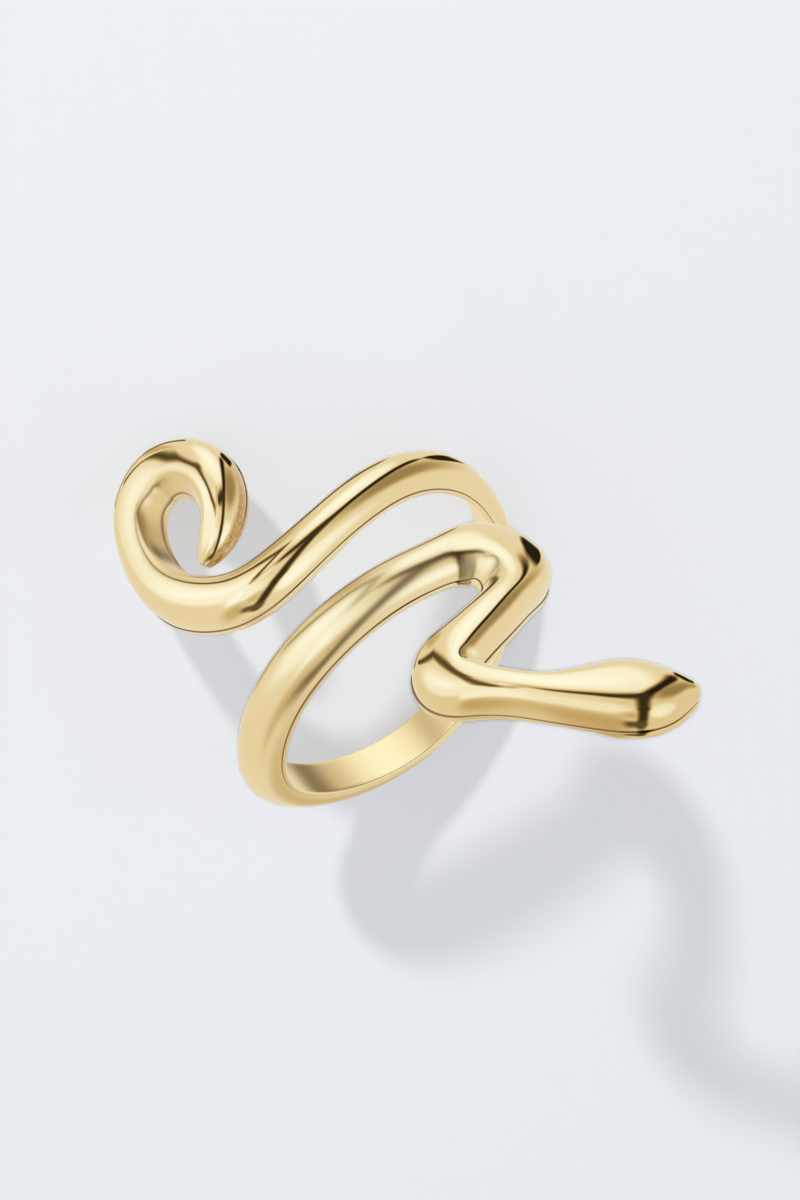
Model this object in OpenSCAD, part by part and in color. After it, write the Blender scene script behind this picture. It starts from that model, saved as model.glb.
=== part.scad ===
// A finger ring in the form of a snake, one solid piece of metal. The tail curls round a
// hole beside the finger, the body crosses over and winds once round the finger, and the
// head zigzags out along it. The ring lies on its side, as it rests by itself.
// The snake is swept through the rows of GUIDE, and the finger's hole is bored through it.

/* [Finger] */
// Inside diameter of the ring
finger_d = 17.3; // [16:0.1:19]

/* [Snake] */
// Height of the upright wall below the rounded back
wall_h = 0.45; // [0.3:0.05:0.6]
// Share of the width that the rounded back keeps above the wall
back_w = 0.94; // [0.9:0.01:0.98]

/* [Rest] */
// Turn that lays the ring on its side
lay_turn = -62; // [-70:0.1:-55]
// Lean towards the curl, which props the ring up
lay_lean = 11.6; // [5:0.1:20]

/* [Hidden] */
$fn = 96;
finger_r = finger_d / 2;
bore_l = 60;

// Columns of a row. The section's underside stands lift above the finger, at turn degrees
// round it and along millimetres down it, and the section faces outwards at face degrees.
// left and right are how far it reaches from its middle, seen from the tail to the head.
// How boxy its back is on either side: 1 is a quarter of an ellipse, and less is fuller.
TURN = 0;
ALONG = 1;
LIFT = 2;
FACE = 3;
LEFT = 4;
RIGHT = 5;
THICK = 6;
LEFT_FULL = 7;
RIGHT_FULL = 8;
TAIL = [
  [143.0,   6.2,  1.75, 100.0, 0.2, 0.2, 0.7, 0.70, 1.0],
  [141.0,   6.4,  1.65, 100.0, 0.4, 0.6, 1.1, 0.70, 1.0],
  [134.5,   6.8,  1.40, 100.0, 0.8, 1.1, 1.7, 0.60, 1.0],
  [128.0,   8.0,  1.25, 100.0, 1.0, 1.5, 2.2, 0.50, 1.0],
  [124.5,   9.9,  1.25, 104.0, 1.4, 1.8, 2.4, 0.40, 1.0],
  [128.0,  11.7,  1.30, 113.0, 1.7, 1.7, 2.5, 0.40, 1.0],
  [137.5,  12.6,  1.55, 126.0, 1.7, 1.5, 2.5, 0.35, 1.0],
  [149.5,  11.6,  2.00, 134.0, 1.3, 1.3, 2.5, 0.35, 1.0],
  [155.5,   8.3,  2.40, 134.0, 1.2, 1.4, 2.5, 0.40, 1.0],
  [154.0,   5.3,  2.55, 130.0, 1.4, 1.6, 2.4, 0.50, 1.0],
  [143.0,   2.6,  1.50, 124.0, 1.4, 1.5, 2.3, 0.70, 1.0],
  [127.5,   2.4,  0.70, 118.0, 1.4, 1.4, 2.1, 0.90, 1.0],
  [110.5,   3.0,  0.10, 108.0, 1.3, 1.3, 2.0, 1.00, 1.0],
  [ 90.0,   4.0, -0.05,  90.0, 1.4, 1.4, 1.8, 1.00, 1.0],
];
// the head's turns and faces are counted after one whole turn round the finger
HEAD = [
  [ 88.0,  -2.3, -0.05,  88.0, 1.3, 1.5, 2.0, 1.0, 0.9],
  [ 79.5,  -2.1, -0.05,  79.0, 1.3, 1.7, 2.0, 1.0, 0.8],
  [ 69.0,  -2.7,  0.05,  69.0, 3.0, 1.9, 2.2, 0.8, 0.8],
  [ 64.0,  -4.3,  0.05,  64.0, 3.6, 1.9, 2.3, 0.7, 0.8],
  [ 67.5,  -6.0,  0.00,  67.0, 1.2, 1.7, 2.2, 0.9, 0.8],
  [ 76.0,  -6.8,  0.00,  76.0, 1.3, 1.4, 2.2, 0.9, 0.8],
  [ 85.5,  -7.4,  0.00,  86.0, 1.5, 1.2, 2.2, 0.8, 0.8],
  [ 97.5,  -8.1, -0.05,  98.0, 1.6, 1.3, 2.2, 0.8, 0.8],
  [104.0,  -8.9,  0.00, 104.0, 1.5, 2.5, 2.2, 0.8, 0.8],
  [105.5, -10.0, -0.05, 106.0, 1.5, 2.4, 2.2, 0.8, 0.8],
  [101.5, -11.1, -0.10, 101.0, 1.3, 1.5, 2.2, 0.8, 0.8],
  [ 93.5, -12.5, -0.15,  95.0, 1.2, 1.1, 2.2, 0.8, 0.8],
  [ 84.0, -13.6, -0.20,  89.0, 1.2, 1.4, 2.2, 0.8, 0.8],
  [ 72.5, -14.5, -0.05,  83.0, 2.0, 1.9, 2.4, 0.8, 0.8],
  [ 61.0, -15.4,  0.50,  80.0, 2.6, 2.4, 2.5, 0.8, 0.8],
  [ 52.5, -16.1,  1.20,  78.0, 2.0, 2.0, 2.3, 0.8, 0.8],
  [ 47.5, -16.5,  1.90,  78.0, 1.2, 1.1, 1.9, 0.8, 0.8],
  [ 45.5, -16.7,  2.30,  78.0, 0.7, 0.6, 1.5, 0.8, 0.8],
  [ 44.5, -16.8,  2.45,  78.0, 0.3, 0.2, 1.0, 0.8, 0.8],
];
// Between them the body hugs the finger and faces straight out. Its rows have other
// columns: turn and along as above, then the whole width and the thickness.
WIDE = 2;
HIGH = 3;
wrap_lift = 0.1;
wrap_full = 1;
WRAP = [
  [  70,  4.8, 2.8, 1.7],
  [  45,  5.4, 2.9, 1.6],
  [  20,  5.2, 2.7, 1.5],
  [  -5,  4.1, 2.5, 1.5],
  [ -30,  2.8, 2.4, 1.5],
  [ -55,  1.7, 2.4, 1.5],
  [ -80,  1.1, 2.4, 1.6],
  [-105,  0.8, 2.4, 1.8],
  [-130,  0.3, 2.5, 2.0],
  [-155, -0.5, 2.8, 2.2],
  [-180, -1.3, 3.0, 2.2],
  [-205, -1.7, 3.2, 2.1],
  [-230, -2.1, 3.2, 2.0],
  [-255, -2.3, 2.9, 2.0],
];

// Columns of a guide row, which has its place as x, y and z. The finger runs along Y.
X = 0;
Y = 1;
Z = 2;
function place(turn, along, lift) =
  [(finger_r + lift) * cos(turn), along, (finger_r + lift) * sin(turn)];
function guide_row(r, whole_turns) = concat(
  place(r[TURN], r[ALONG], r[LIFT]),
  [r[FACE] - 360 * whole_turns, r[LEFT], r[RIGHT], r[THICK], r[LEFT_FULL], r[RIGHT_FULL]]
);
function wrap_row(r) = concat(
  place(r[TURN], r[ALONG], wrap_lift),
  [r[TURN], r[WIDE] / 2, r[WIDE] / 2, r[HIGH], wrap_full, wrap_full]
);
GUIDE = concat(
  [for (r = TAIL) guide_row(r, 0)],
  [for (r = WRAP) wrap_row(r)],
  [for (r = HEAD) guide_row(r, 1)]
);
last = len(GUIDE) - 1;
wrap_first = len(TAIL);
wrap_last = wrap_first + len(WRAP) - 2;

// The way is a cubic B-spline through the guide: weights of four rows at t in 0 to 1, and
// of their first and second derivatives.
function weights(t) =
  [pow(1 - t, 3), 3 * pow(t, 3) - 6 * t * t + 4, -3 * pow(t, 3) + 3 * t * t + 3 * t + 1, pow(t, 3)] / 6;
function slopes(t) = [-(1 - t) * (1 - t), 3 * t * t - 4 * t, -3 * t * t + 2 * t + 1, t * t] / 2;
function bends(t) = [1 - t, 3 * t - 2, 1 - 3 * t, t];
function row(i) = GUIDE[max(0, min(last, i))];
function blend(i, w) = w[0] * row(i - 1) + w[1] * row(i) + w[2] * row(i + 1) + w[3] * row(i + 2);
function xyz(v) = [v[X], v[Y], v[Z]];
function unit(v) = v / norm(v);

// A stop at u rows along the way: the row there, its place, its sideways and outward
// directions, and how much the way bends to the right.
ROW = 0;
SIDE = 1;
UP = 2;
BEND = 3;
function stop(u) = let (
  v = max(0, min(last, u)),
  i = floor(v),
  mid = blend(i, weights(v - i)),
  way = xyz(blend(i, slopes(v - i))),
  along = unit(way),
  face = [cos(mid[FACE]), 0, sin(mid[FACE])],
  up = unit(face - (face * along) * along),
  side = cross(along, up)
) [mid, side, up, (xyz(blend(i, bends(v - i))) * side) / (way * way)];

// A tight bend's inner side stops short of the bend's centre, by this share. The bend is
// evened over one row's length.
inner_reach = 0.82;
EVEN = [-0.5, -0.25, 0, 0.25, 0.5];
function total(values, i = 0) = i < len(values) - 1 ? values[i] + total(values, i + 1) : values[i];
function even_bend(u) = total([for (e = EVEN) stop(u + e)[BEND]]) / len(EVEN);
// the smaller of two lengths, without a corner where they meet
blending = 8;
function softer(a, b) = pow(pow(a, -blending) + pow(b, -blending), -1 / blending);

// The back's angles over a section, from right to left.
back_steps = 15;
ANGLES = [for (k = [0:back_steps]) 180 * k / back_steps];
// A thin ledge runs along the top of the upright wall, but not where the back is boxy.
ledge_h = 0.05;
boxy = 0.4;
function back_share(full) = 1 - (1 - back_w) * min(1, max(0, full / boxy - 1));
// Near its ends the snake is thin, and the wall is at most this share of it.
wall_share = 1 / 3;

function section(u) = let (
  here = stop(u),
  mid = here[ROW],
  at = xyz(mid),
  side = here[SIDE],
  up = here[UP],
  bend = even_bend(u),
  left = bend < 0 ? softer(mid[LEFT], -inner_reach / bend) : mid[LEFT],
  right = bend > 0 ? softer(mid[RIGHT], inner_reach / bend) : mid[RIGHT],
  wall = min(wall_h, mid[THICK] * wall_share),
  rim = wall - ledge_h
) concat(
  [for (a = ANGLES) let (
    full = cos(a) < 0 ? mid[LEFT_FULL] : mid[RIGHT_FULL],
    reach = (cos(a) < 0 ? -left : right) * back_share(full) * pow(abs(cos(a)), full),
    height = wall + pow(sin(a), full) * (mid[THICK] - wall)
  ) at + reach * side + height * up],
  [at - left * side + rim * up, at - left * side, at, at + right * side, at + right * side + rim * up]
);

// The wrap is even, and its sections stand further apart.
bend_steps = 7;
wrap_steps = 4;
SECTIONS = concat(
  [for (i = [0:last - 1])
    let (steps = i < wrap_first || i > wrap_last ? bend_steps : wrap_steps)
    for (k = [0:steps - 1]) section(i + k / steps)],
  [section(last)]
);

// Joins rings of points into one closed skin, with a fan over each end.
module skin(rings) {
  n = len(rings[0]);
  m = len(rings);
  polyhedron(
    points = concat([for (r = rings) each r], [total(rings[0]) / n, total(rings[m - 1]) / n]),
    faces = concat(
      [for (j = [0:m - 2], k = [0:n - 1])
        let (a = j * n + k, b = j * n + (k + 1) % n)
        each [[a, b, a + n], [b, b + n, a + n]]],
      [for (k = [0:n - 1]) [m * n, (k + 1) % n, k]],
      [for (k = [0:n - 1]) [m * n + 1, (m - 1) * n + k, (m - 1) * n + (k + 1) % n]]
    )
  );
}

// The laid ring stands on the origin's plane, with the middle of its box over the origin.
function laid(p) = let (
  y = p[Y] * cos(lay_turn) - p[Z] * sin(lay_turn),
  z = p[Y] * sin(lay_turn) + p[Z] * cos(lay_turn)
) [p[X] * cos(lay_lean) + z * sin(lay_lean), y, z * cos(lay_lean) - p[X] * sin(lay_lean)];
LAID = [for (s = SECTIONS, p = s) laid(p)];
function middle(axis) = let (v = [for (p = LAID) p[axis]]) (min(v) + max(v)) / 2;
foot = min([for (p = LAID) p[Z]]);

module snake_ring() {
  color("gold")
    translate([-middle(X), -middle(Y), -foot])
      rotate([lay_turn, lay_lean, 0])
        difference() {
          skin(SECTIONS);
          rotate([90, 0, 0]) cylinder(r = finger_r, h = bore_l, center = true);
        }
}

snake_ring();
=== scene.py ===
from math import radians

import bpy
import numpy as np
from mathutils import Matrix, Vector


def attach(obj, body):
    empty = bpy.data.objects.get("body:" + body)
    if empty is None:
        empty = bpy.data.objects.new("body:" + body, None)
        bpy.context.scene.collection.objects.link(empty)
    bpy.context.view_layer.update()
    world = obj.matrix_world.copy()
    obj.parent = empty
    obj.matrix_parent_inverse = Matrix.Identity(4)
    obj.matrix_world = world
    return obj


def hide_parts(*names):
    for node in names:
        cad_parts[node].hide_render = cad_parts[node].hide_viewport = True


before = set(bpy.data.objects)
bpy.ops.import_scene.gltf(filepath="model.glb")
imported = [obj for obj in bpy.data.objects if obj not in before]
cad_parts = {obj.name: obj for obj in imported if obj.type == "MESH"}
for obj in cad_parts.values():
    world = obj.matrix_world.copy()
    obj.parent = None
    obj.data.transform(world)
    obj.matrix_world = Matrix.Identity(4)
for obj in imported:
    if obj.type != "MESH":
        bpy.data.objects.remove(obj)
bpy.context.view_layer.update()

# Sizes as in the part's source. The ring's own frame is in millimetres, with the finger along Y.
FINGER_R = 8.65
WALL_H = 0.45
BACK_W = 0.94
LAY_TURN = -62
LAY_LEAN = 11.6
# turn, along, lift, face, left, right, thick, left fullness, right fullness
TAIL = [
    [143.0, 6.2, 1.75, 100.0, 0.2, 0.2, 0.7, 0.7, 1.0],
    [141.0, 6.4, 1.65, 100.0, 0.4, 0.6, 1.1, 0.7, 1.0],
    [134.5, 6.8, 1.40, 100.0, 0.8, 1.1, 1.7, 0.6, 1.0],
    [128.0, 8.0, 1.25, 100.0, 1.0, 1.5, 2.2, 0.5, 1.0],
    [124.5, 9.9, 1.25, 104.0, 1.4, 1.8, 2.4, 0.4, 1.0],
    [128.0, 11.7, 1.30, 113.0, 1.7, 1.7, 2.5, 0.4, 1.0],
    [137.5, 12.6, 1.55, 126.0, 1.7, 1.5, 2.5, 0.35, 1.0],
    [149.5, 11.6, 2.00, 134.0, 1.3, 1.3, 2.5, 0.35, 1.0],
    [155.5, 8.3, 2.40, 134.0, 1.2, 1.4, 2.5, 0.4, 1.0],
    [154.0, 5.3, 2.55, 130.0, 1.4, 1.6, 2.4, 0.5, 1.0],
    [143.0, 2.6, 1.50, 124.0, 1.4, 1.5, 2.3, 0.7, 1.0],
    [127.5, 2.4, 0.70, 118.0, 1.4, 1.4, 2.1, 0.9, 1.0],
    [110.5, 3.0, 0.10, 108.0, 1.3, 1.3, 2.0, 1.0, 1.0],
    [90.0, 4.0, -0.05, 90.0, 1.4, 1.4, 1.8, 1.0, 1.0],
]
# turn, along, whole width, thickness
WRAP = [
    [70, 4.8, 2.8, 1.7],
    [45, 5.4, 2.9, 1.6],
    [20, 5.2, 2.7, 1.5],
    [-5, 4.1, 2.5, 1.5],
    [-30, 2.8, 2.4, 1.5],
    [-55, 1.7, 2.4, 1.5],
    [-80, 1.1, 2.4, 1.6],
    [-105, 0.8, 2.4, 1.8],
    [-130, 0.3, 2.5, 2.0],
    [-155, -0.5, 2.8, 2.2],
    [-180, -1.3, 3.0, 2.2],
    [-205, -1.7, 3.2, 2.1],
    [-230, -2.1, 3.2, 2.0],
    [-255, -2.3, 2.9, 2.0],
]
# as the tail's columns, one whole turn further round
HEAD = [
    [88.0, -2.3, -0.05, 88.0, 1.3, 1.5, 2.0, 1.0, 0.9],
    [79.5, -2.1, -0.05, 79.0, 1.3, 1.7, 2.0, 1.0, 0.8],
    [69.0, -2.7, 0.05, 69.0, 3.0, 1.9, 2.2, 0.8, 0.8],
    [64.0, -4.3, 0.05, 64.0, 3.6, 1.9, 2.3, 0.7, 0.8],
    [67.5, -6.0, 0.00, 67.0, 1.2, 1.7, 2.2, 0.9, 0.8],
    [76.0, -6.8, 0.00, 76.0, 1.3, 1.4, 2.2, 0.9, 0.8],
    [85.5, -7.4, 0.00, 86.0, 1.5, 1.2, 2.2, 0.8, 0.8],
    [97.5, -8.1, -0.05, 98.0, 1.6, 1.3, 2.2, 0.8, 0.8],
    [104.0, -8.9, 0.00, 104.0, 1.5, 2.5, 2.2, 0.8, 0.8],
    [105.5, -10.0, -0.05, 106.0, 1.5, 2.4, 2.2, 0.8, 0.8],
    [101.5, -11.1, -0.10, 101.0, 1.3, 1.5, 2.2, 0.8, 0.8],
    [93.5, -12.5, -0.15, 95.0, 1.2, 1.1, 2.2, 0.8, 0.8],
    [84.0, -13.6, -0.20, 89.0, 1.2, 1.4, 2.2, 0.8, 0.8],
    [72.5, -14.5, -0.05, 83.0, 2.0, 1.9, 2.4, 0.8, 0.8],
    [61.0, -15.4, 0.50, 80.0, 2.6, 2.4, 2.5, 0.8, 0.8],
    [52.5, -16.1, 1.20, 78.0, 2.0, 2.0, 2.3, 0.8, 0.8],
    [47.5, -16.5, 1.90, 78.0, 1.2, 1.1, 1.9, 0.8, 0.8],
    [45.5, -16.7, 2.30, 78.0, 0.7, 0.6, 1.5, 0.8, 0.8],
    [44.5, -16.8, 2.45, 78.0, 0.3, 0.2, 1.0, 0.8, 0.8],
]
WRAP_LIFT = 0.1
WRAP_FULL = 1.0
INNER_REACH = 0.82  # the most that a bend's inner side takes of the bend's radius
LEDGE_H = 0.05
BOXY = 0.4          # up to this a side has no ledge, and from twice as much it has the whole one

# Small radii that only this skin has
EDGE_R = 0.08
LIP_R = 0.03

# Points of the skin
STEPS = 20                         # sections in each span between two rows
BACK_POINTS = 40                   # over a section's rounded back
LIP_POINTS = 3                     # round the ledge's lip
FOOT_ANGLES = (0, 22.5, 45, 67.5)  # round the metal's edge
EDGE_POINTS = LIP_POINTS + len(FOOT_ANGLES)
BASE_POINTS = 12                   # across the underside

# Marks on the skin are placed along the snake in rows, and across it in shares of the half width. Of two
# places, a mark has nothing at the first and is whole at the second. Of four, it fades again from the third
# to the fourth.
HOOP = (16.5, 19, 28, 30)
HOOP_WEAR = 0.7
# the curl's inner wall: duller metal, and a darker tone as painted shade
CURL = (2, 4, 11, 13)
CURL_SIDE = (0.4, 0.8)
TUCKED = (0.20, 0.75)  # no places, but the half width inside a bend as a share of the bend's radius
TUCKED_SIDE = (0.3, 0.8)
# the neck's outer side gets a darker tone as painted shade
FLANK = (35.0, 38.0)   # the neck's outer side
FLANK_SIDE = (0.1, 0.8)
FLANK_SHADE_SHARE = 0.95
RAW_TIP = (5.0, 3.0)   # the tail's outer wall, left as cast
RAW_BACK = (12, 10)    # and the back beside it, with its places counted in points
CAP_MARKS = (1, 0)     # each mark in the middle of the tail's end, and of the head's end


def guide():
    """The rows as x, y, z, face, left, right, thick, left fullness, right fullness."""
    rows = [(r, 0) for r in TAIL]
    rows += [([t, a, WRAP_LIFT, t, w / 2, w / 2, h, WRAP_FULL, WRAP_FULL], 0) for t, a, w, h in WRAP]
    rows += [(r, 360) for r in HEAD]
    made = []
    for (turn, along, lift, face, *rest), back in rows:
        a = radians(turn)
        reach = FINGER_R + lift
        made.append([reach * np.cos(a), along, reach * np.sin(a), face - back, *rest])
    return np.array(made)


def unit(v):
    return v / np.linalg.norm(v)


def softer(a, b):
    """The smaller of two lengths, without a corner where they meet."""
    return (a ** -8 + b ** -8) ** -0.125


def rise(value, start, end):
    """0 on the side of start and 1 on the side of end, with a straight rise between."""
    return np.clip((value - start) / (end - start), 0, 1)


def stretch(row, starts, whole, fades, ended):
    """1 from whole to fades, and 0 outside starts and ended."""
    return rise(row, starts, whole) * rise(row, ended, fades)


def even(values, window):
    """The values, each averaged over a window of its neighbours."""
    wide = np.pad(values, window, mode="edge")
    return np.convolve(wide, np.ones(2 * window + 1) / (2 * window + 1), "valid")


def base_height(at, side, up, s):
    """How high above its middle the section starts at s, so that the finger's hole stays round."""
    p = at + s * side
    a = up[0] ** 2 + up[2] ** 2
    b = p[0] * up[0] + p[2] * up[2]
    c = p[0] ** 2 + p[2] ** 2 - FINGER_R ** 2
    inside = b * b - a * c
    return max(0, (-b + inside ** 0.5) / a) if inside > 0 else 0


def ledge(full):
    """The back's share of the width above the wall: a boxy side has no ledge."""
    return 1 - (1 - BACK_W) * rise(full, BOXY, 2 * BOXY)


def edge_radius(rim, foot, reach):
    return min(EDGE_R, (rim - foot) / 3, reach / 3)


def wall_points(rim, foot, reach):
    """A low wall's points from its lip down to its foot, as distances from the middle and heights."""
    r = edge_radius(rim, foot, reach)
    lip = min(LIP_R, r)
    points = [(reach - lip, rim + lip / 2), (reach - lip / 4, rim - lip / 4), (reach, rim - lip)]
    for a in np.radians(FOOT_ANGLES):
        points.append((reach - r * (1 - np.cos(a)), foot + r * (1 - np.sin(a))))
    return points


def outline(at, side, up, left, right, thick, left_full, right_full):
    """One section's points, over the back from right to left and then under it."""
    wall = min(WALL_H, thick / 3)
    rim = wall - LEDGE_H
    left_foot, right_foot = [base_height(at, side, up, s) for s in (-left, right)]
    points = []
    for u in np.linspace(0, 1, BACK_POINTS):
        a = np.pi * (0.5 - 0.5 * np.cos(np.pi * u))
        c, s = np.cos(a), np.sin(a)
        reach, full = (-left, left_full) if c < 0 else (right, right_full)
        points.append((reach * ledge(full) * abs(c) ** full, wall + s ** full * (thick - wall)))
    points += [(-s, h) for s, h in wall_points(rim, left_foot, left)]
    start, end = edge_radius(rim, left_foot, left) - left, right - edge_radius(rim, right_foot, right)
    points += [(s, base_height(at, side, up, s)) for s in np.linspace(start, end, BASE_POINTS)]
    points += wall_points(rim, right_foot, right)[::-1]
    return [at + s * side + h * up for s, h in points]


def sections():
    """Every section along the snake, and two marks of its points.

    The rows guide a cubic B-spline, and the sections are swept on it. The first mark is how dull the metal
    is, and the second how much painted shade darkens its tone.
    """
    rows = guide()
    last = len(rows) - 1
    stops = []
    for n in range(last * STEPS + 1):
        i, t = (n // STEPS, n % STEPS / STEPS) if n < last * STEPS else (last, 0)
        near = rows[np.clip([i - 1, i, i + 1, i + 2], 0, last)]
        # the spline's weights, and those of its first and second derivatives
        weights = np.array([(1 - t) ** 3, 3 * t ** 3 - 6 * t * t + 4,
                            -3 * t ** 3 + 3 * t * t + 3 * t + 1, t ** 3])
        slopes = np.array([-(1 - t) ** 2, 3 * t * t - 4 * t, -3 * t * t + 2 * t + 1, t * t])
        bends = np.array([1 - t, 3 * t - 2, 1 - 3 * t, t])
        mid = weights @ near / 6
        way = slopes @ near[:, :3] / 2
        bend = bends @ near[:, :3]
        along = unit(way)
        face = np.array([np.cos(radians(mid[3])), 0, np.sin(radians(mid[3]))])
        up = unit(face - (face @ along) * along)
        side = np.cross(along, up)
        stops.append((mid, side, up, (bend @ side) / (way @ way)))
    made, dull, painted_shade = [], [], []
    curves = even([stop[3] for stop in stops], STEPS // 2)
    for n, ((mid, side, up, _), curve) in enumerate(zip(stops, curves)):
        left, right = mid[4], mid[5]
        if curve < 0:
            left = softer(left, -INNER_REACH / curve)
        if curve > 0:
            right = softer(right, INNER_REACH / curve)
        points = np.array(outline(mid[:3], side, up, left, right, *mid[6:]))
        across = (points - mid[:3]) @ side
        tight = np.where(across < 0, -curve * left, curve * right)
        outward = np.where(across < 0, -across / left, across / right)
        row = n / STEPS
        # painted shade darkens the curl's inner wall and the neck's outer side
        inner = stretch(row, *CURL) * (across < 0) * rise(outward, *CURL_SIDE)
        flank_shade = FLANK_SHADE_SHARE * rise(row, *FLANK) * (across > 0) * rise(outward, *FLANK_SIDE)
        tucked = rise(tight, *TUCKED) * rise(outward, *TUCKED_SIDE)
        made.append(points)
        dull.append(np.maximum(np.maximum(inner, HOOP_WEAR * stretch(row, *HOOP)), tucked))
        painted_shade.append(inner + flank_shade)
    return np.array(made), np.array(dull), np.array(painted_shade)


def snake_mesh(rings, dull, painted_shade):
    """Joins the sections into one closed skin. Its second material covers the underside."""
    count, around = rings.shape[:2]
    points = list(rings.reshape(-1, 3)) + [rings[0].mean(0), rings[-1].mean(0)]
    faces, slots = [], []
    under = range(BACK_POINTS + EDGE_POINTS - 1, BACK_POINTS + EDGE_POINTS + BASE_POINTS)
    for first in range(0, (count - 1) * around, around):
        for k in range(around):
            after = (k + 1) % around
            faces.append((first + k, first + around + k, first + around + after, first + after))
            slots.append(1 if k in under else 0)
    tail_cap, head_cap, last = count * around, count * around + 1, (count - 1) * around
    for k in range(around):
        after = (k + 1) % around
        faces += [(tail_cap, k, after), (head_cap, last + after, last + k)]
        slots += [0, 0]
    mesh = bpy.data.meshes.new("polished_snake")
    mesh.from_pydata([tuple(p) for p in points], [], faces)
    mesh.polygons.foreach_set("material_index", slots)
    mesh.polygons.foreach_set("use_smooth", [True] * len(faces))

    # painted shade: a dark line along the ledge on each side of the back
    groove_shade = np.zeros((count, around))
    groove_shade[:, [0, BACK_POINTS - 1, BACK_POINTS, -1]] = 1
    as_cast = rise(np.arange(count) / STEPS, *RAW_TIP)[:, None]
    raw = np.zeros((count, around))
    raw[:, 1 - EDGE_POINTS:] = as_cast
    raw[:, :RAW_BACK[0]] = as_cast * rise(np.arange(RAW_BACK[0]), *RAW_BACK)
    raw[0] = 1
    for name, mark in (("dull", dull), ("painted_shade", painted_shade), ("groove_shade", groove_shade), ("raw", raw)):
        values = [*mark.reshape(-1), *CAP_MARKS]
        mesh.attributes.new(name, "FLOAT", "POINT").data.foreach_set("value", values)
    mesh.update()
    return mesh


# The ring is laid on its side, with the middle of its box over the origin.
rings, dull, painted_shade = sections()
LAID = Matrix.Rotation(radians(LAY_LEAN), 4, "Y") @ Matrix.Rotation(radians(LAY_TURN), 4, "X")
turned = rings.reshape(-1, 3) @ np.array(LAID.to_3x3()).T
low, high = turned.min(0), turned.max(0)
shift = Vector((-(low[0] + high[0]) / 2, -(low[1] + high[1]) / 2, -low[2]))
MM = 0.001
TO_METRES = Matrix.Scale(MM, 4) @ Matrix.Translation(shift)


def link(name, data):
    obj = bpy.data.objects.new(name, data)
    bpy.context.scene.collection.objects.link(obj)
    return obj


class Nodes:
    """Short calls for building a node tree."""

    def __init__(self, owner):
        owner.use_nodes = True
        self.tree = owner.node_tree
        self.tree.nodes.clear()

    def add(self, kind, values=None, **settings):
        node = self.tree.nodes.new(kind)
        for setting, value in settings.items():
            setattr(node, setting, value)
        for socket, value in (values or {}).items():
            if isinstance(value, bpy.types.NodeSocket):
                self.tree.links.new(value, node.inputs[socket])
            else:
                node.inputs[socket].default_value = value
        return node

    def noise(self, place, scale, detail, roughness):
        values = {"Vector": place, "Scale": scale, "Detail": detail, "Roughness": roughness}
        return self.add("ShaderNodeTexNoise", values).outputs["Fac"]

    def mix(self, amount, under, over):
        """A number from under to over. The node's sockets 2 and 3 take numbers, and 6 and 7 take colours."""
        return self.add("ShaderNodeMix", {0: amount, 2: under, 3: over}).outputs[0]

    def mix_tones(self, amount, under, over):
        return self.add("ShaderNodeMix", {0: amount, 6: under, 7: over}, data_type="RGBA").outputs[2]

    def vector(self, operation, a, b=None, output="Vector"):
        values = {0: a} if b is None else {0: a, ("Scale" if operation == "SCALE" else 1): b}
        return self.add("ShaderNodeVectorMath", values, operation=operation).outputs[output]

    def soft_edge(self, value, inner, outer):
        """1 below inner, 0 above outer, and smooth between."""
        values = {"Value": value, "From Min": inner, "From Max": outer, "To Min": 1.0, "To Max": 0.0}
        return self.add("ShaderNodeMapRange", values, interpolation_type="SMOOTHERSTEP").outputs[0]


# Materials
DULL_ROUGH = 0.32
# painted shade: the darker tone on the curl's inner wall and the neck's outer side
PAINTED_SHADE_TONE = (0.84, 0.64, 0.31, 1)
# the painted shade along the ledges
GROOVE_SHADE_TONE = (0.26, 0.16, 0.07, 1)
CAST_DARK, CAST_LIGHT = (0.26, 0.13, 0.03, 1), (0.88, 0.58, 0.22, 1)
# scale, detail and roughness of each noise
CLOUD, HAZE, PITS, GRAIN = (180, 3, 0.5), (900, 4, 0.6), (5000, 2, 0.5), (6000, 2, 0.6)
HAZE_RANGE = (0.3, 0.7)
GRAIN_STRENGTH, GRAIN_DEPTH = 0.02, 0.00002


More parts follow.
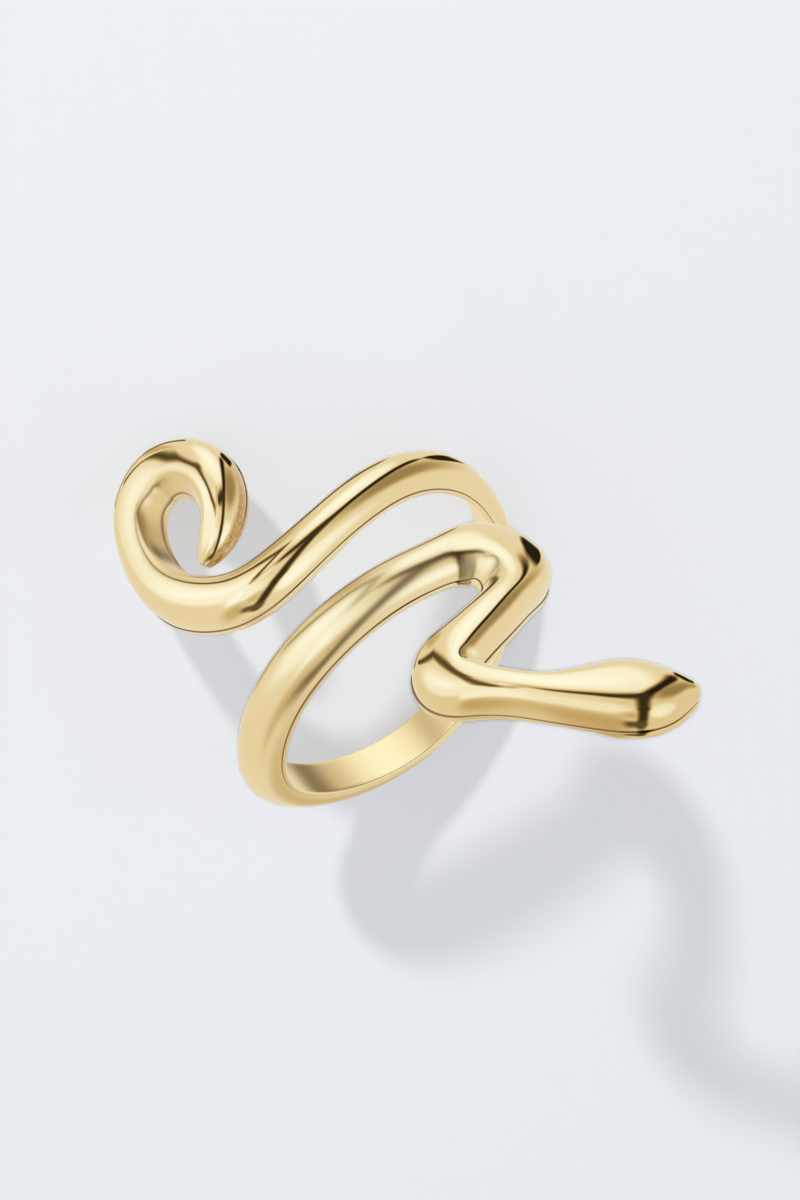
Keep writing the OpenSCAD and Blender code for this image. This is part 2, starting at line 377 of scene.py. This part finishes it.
def gold(name, light, dark, rough, worn):
    """Yellow metal. light and dark are its two tones, rough and worn its roughness from polished to worn."""
    metal = bpy.data.materials.new(name)
    nodes = Nodes(metal)
    place = nodes.add("ShaderNodeTexCoord").outputs["Object"]
    cloud, haze, pits, grain = [nodes.noise(place, *values) for values in (CLOUD, HAZE, PITS, GRAIN)]
    dull, painted_shade, groove_shade, raw = [nodes.add("ShaderNodeAttribute", attribute_name=mark).outputs["Fac"]
                               for mark in ("dull", "painted_shade", "groove_shade", "raw")]
    tone = nodes.mix_tones(cloud, (*light, 1), (*dark, 1))
    # painted shade on the curl's inner wall and the neck's outer side
    tone = nodes.mix_tones(painted_shade, tone, PAINTED_SHADE_TONE)
    # painted shade along the ledges
    tone = nodes.mix_tones(groove_shade, tone, GROOVE_SHADE_TONE)
    tone = nodes.mix_tones(raw, tone, nodes.mix_tones(pits, CAST_DARK, CAST_LIGHT))
    polish = nodes.add("ShaderNodeMapRange", {
        "Value": haze, "From Min": HAZE_RANGE[0], "From Max": HAZE_RANGE[1],
        "To Min": rough, "To Max": worn}).outputs["Result"]
    bump = nodes.add("ShaderNodeBump", {
        "Height": grain, "Strength": GRAIN_STRENGTH, "Distance": GRAIN_DEPTH}).outputs["Normal"]
    shader = nodes.add("ShaderNodeBsdfPrincipled", {
        "Base Color": tone, "Metallic": 1.0, "Normal": bump,
        "Roughness": nodes.mix(dull, polish, DULL_ROUGH)})
    nodes.add("ShaderNodeOutputMaterial", {"Surface": shader.outputs["BSDF"]})
    return metal


polished = gold("polished_gold", (0.92, 0.75, 0.42), (0.90, 0.72, 0.38), 0.03, 0.06)
# the underside is satin, and its tones are lighter than the polished gold's as painted light
satin_and_lit = gold("satin_and_lit_gold", (0.99, 0.79, 0.40), (0.97, 0.74, 0.34), 0.26, 0.32)

mesh = snake_mesh(rings, dull, painted_shade)
mesh.transform(TO_METRES @ LAID)
mesh.materials.append(polished)
mesh.materials.append(satin_and_lit)
snake = link("polished_snake", mesh)
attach(snake, "root")
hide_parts("snake_ring")

# Floor
FLOOR_REACH = 2
FLOOR_TONE = (0.36, 0.364, 0.372, 1)
FLOOR_ROUGH = 0.7
floor_data = bpy.data.meshes.new("floor")
corners = [(x * FLOOR_REACH, y * FLOOR_REACH, 0) for x, y in ((-1, -1), (1, -1), (1, 1), (-1, 1))]
floor_data.from_pydata(corners, [], [(0, 1, 2, 3)])
floor = link("floor", floor_data)
pale = bpy.data.materials.new("pale_floor")
nodes = Nodes(pale)
shader = nodes.add("ShaderNodeBsdfPrincipled", {"Base Color": FLOOR_TONE, "Roughness": FLOOR_ROUGH})
nodes.add("ShaderNodeOutputMaterial", {"Surface": shader.outputs["BSDF"]})
floor_data.materials.append(pale)

# Camera
VIEW_TURN = -31.5                   # the camera's angle to the ring, to the side
VIEW_DOWN = 46.7                    # and down
VIEW_PLACE = (0.087, 3.279, 271.9)  # and its place along its own axes, in millimetres
camera_data = bpy.data.cameras.new("camera")
camera_data.lens = 150
camera_data.sensor_width = 36
camera_data.clip_start = 0.01
camera = link("camera", camera_data)
AIM = Matrix.Rotation(radians(VIEW_TURN), 4, "Z") @ Matrix.Rotation(radians(90 - VIEW_DOWN), 4, "X")
SEAT = LAID @ AIM
eye = TO_METRES @ SEAT @ Vector(VIEW_PLACE)
camera.matrix_world = Matrix.Translation(eye) @ SEAT
bpy.context.scene.camera = camera

# The studio is painted by the direction that light comes from. A spot is that direction's place on a
# polished ball that is seen from the front: 0, 0 is the ball's middle and 1 its edge.
FRONT = SEAT.to_3x3()
# A spot's light is a level from 0, black, to 1, the brightest panel. Each field has a middle, half sizes, a
# softness and a level, and each gap has points along it, the widths of its core and of its soft edge, and a
# level.
EVEN_LEVEL = 0.80
FIELDS = [
    [(-0.36, 0.10), (0.46, 0.45), 0.6, 0.93],
    [(0.05, 0.62), (0.30, 0.28), 0.5, 0.93],
    [(-0.05, -0.18), (0.30, 0.28), 0.8, 0.92],
    [(0.47, -0.24), (0.26, 0.28), 0.6, 0.93],
    [(-0.42, 0.20), (0.26, 0.20), 0.9, 1.0],
    [(-0.15, -0.20), (0.10, 0.32), 0.9, 1.0],
    [(0.03, 0.62), (0.16, 0.18), 0.9, 1.0],
    [(0.46, -0.30), (0.14, 0.20), 0.9, 1.0],
    [(0.52, 0.38), (0.34, 0.40), 0.8, 0.37],
    [(0.18, 0.28), (0.22, 0.18), 0.9, 0.31],
    [(-0.04, -0.58), (0.20, 0.32), 0.9, 0.58],
    [(0.12, -0.36), (0.16, 0.18), 1.0, 0.62],
    [(0.50, -0.86), (0.50, 0.24), 0.8, 0.60],
    [(-0.52, 0.68), (0.24, 0.14), 0.8, 0.56],
]
GAPS = [
    [[(0.40, 0.69), (0.36, 0.60), (0.30, 0.44), (0.25, 0.30)], 0.02, 0.095, 0.0],
    [[(0.25, 0.30), (0.25, 0.10), (0.26, -0.15)], 0.02, 0.11, 0.03],
    [[(0.26, -0.15), (0.25, -0.45), (0.22, -0.60)], 0.02, 0.10, 0.03],
    [[(0.10, -0.58), (0.24, -0.58)], 0.0, 0.12, 0.12],
    [[(0.04, 0.26), (0.22, 0.31)], 0.01, 0.11, 0.03],
    [[(-0.75, 0.38), (-0.38, 0.54), (-0.20, 0.50)], 0.0, 0.06, 0.08],
    [[(-0.20, 0.50), (-0.16, 0.25), (-0.12, 0.12)], 0.0, 0.055, 0.10],
    [[(-0.12, 0.12), (-0.02, 0.35)], 0.0, 0.05, 0.64],
    [[(0.48, 0.78), (0.62, 0.68)], 0.03, 0.07, 0.0],
    [[(-0.92, 0.22), (-0.84, 0.46), (-0.66, 0.72)], 0.0, 0.04, 0.36],
    [[(-0.66, 0.72), (-0.42, 0.85), (-0.15, 0.93)], 0.0, 0.045, 0.12],
]
# the colour of the light at each level
LIGHTS = [(0.0, (0.02, 0.016, 0.012)), (0.35, (0.33, 0.265, 0.16)), (0.6, (0.66, 0.57, 0.40)),
          (0.8, (0.87, 0.865, 0.85)), (0.9, (1.02, 1.13, 1.36)), (1.0, (1.10, 1.28, 1.75))]


def spot_distance(nodes, spot, start, end):
    """How far the spot is from the straight line between two points."""
    start, line = Vector((*start, 0)), Vector((*end, 0)) - Vector((*start, 0))
    from_start = nodes.vector("SUBTRACT", spot, start)
    along = nodes.vector("DOT_PRODUCT", from_start, line / line.length_squared, "Value")
    along = nodes.add("ShaderNodeClamp", {"Value": along}).outputs[0]
    return nodes.vector("DISTANCE", from_start, nodes.vector("SCALE", line, along), "Value")


world = bpy.data.worlds.new("studio")
bpy.context.scene.world = world
nodes = Nodes(world)
direction = nodes.add("ShaderNodeTexCoord").outputs["Generated"]
half = nodes.vector("NORMALIZE", nodes.vector("ADD", direction, FRONT.col[2]))
x, y = [nodes.vector("DOT_PRODUCT", half, FRONT.col[axis], "Value") for axis in (0, 1)]
spot = nodes.add("ShaderNodeCombineXYZ", {"X": x, "Y": y}).outputs[0]
level = EVEN_LEVEL
for middle, size, softness, field_level in FIELDS:
    inside = nodes.add("ShaderNodeMapping", {"Vector": spot, "Location": (*middle, 0), "Scale": (*size, 1)},
                       vector_type="TEXTURE").outputs[0]
    inside = nodes.vector("LENGTH", inside, output="Value")
    level = nodes.mix(nodes.soft_edge(inside, 1 - softness, 1.0), level, field_level)
for points, core, soft, gap_level in GAPS:
    near = None
    for start, end in zip(points, points[1:]):
        distance = spot_distance(nodes, spot, start, end)
        if near is not None:
            distance = nodes.add("ShaderNodeMath", {0: near, 1: distance}, operation="MINIMUM").outputs[0]
        near = distance
    level = nodes.mix(nodes.soft_edge(near, core, soft), level, gap_level)
ramp = nodes.add("ShaderNodeValToRGB", {"Fac": level})
stops = ramp.color_ramp.elements
stops.remove(stops[1])
for place, colour in LIGHTS:
    stop = stops[0] if place == 0 else stops.new(place)
    stop.color = (*colour, 1)
stops[0].position = 0
sky = nodes.add("ShaderNodeBackground", {"Color": ramp.outputs["Color"], "Strength": 1.0})
nodes.add("ShaderNodeOutputWorld", {"Surface": sky.outputs["Background"]})

# The key comes low from behind and throws a long shadow. The fill stands at the camera's place and is as
# bright at every distance.
KEY_STRENGTH = 3.3
KEY_WIDTH = 4            # in degrees, as its turn is
KEY_TURN = (-62, 0, 19)
FILL_POWER = 47
FILL_R = 0.002           # in metres
key_data = bpy.data.lights.new("key", "SUN")
key_data.energy = KEY_STRENGTH
key_data.angle = radians(KEY_WIDTH)
key = link("key", key_data)
key.rotation_euler = [radians(angle) for angle in KEY_TURN]
fill_data = bpy.data.lights.new("fill", "POINT")
fill_data.energy = FILL_POWER
fill_data.shadow_soft_size = FILL_R
fill_data.use_nodes = True
steady = fill_data.node_tree.nodes.new("ShaderNodeLightFalloff")
steady.inputs["Strength"].default_value = 1.0
emission = fill_data.node_tree.nodes["Emission"]
fill_data.node_tree.links.new(steady.outputs["Constant"], emission.inputs["Strength"])
fill = link("fill", fill_data)
fill.location = eye
# the metal mirrors the painted studio alone
for unseen in (key, fill, floor, snake):
    unseen.visible_glossy = False

bpy.context.scene.view_settings.view_transform = "Standard"
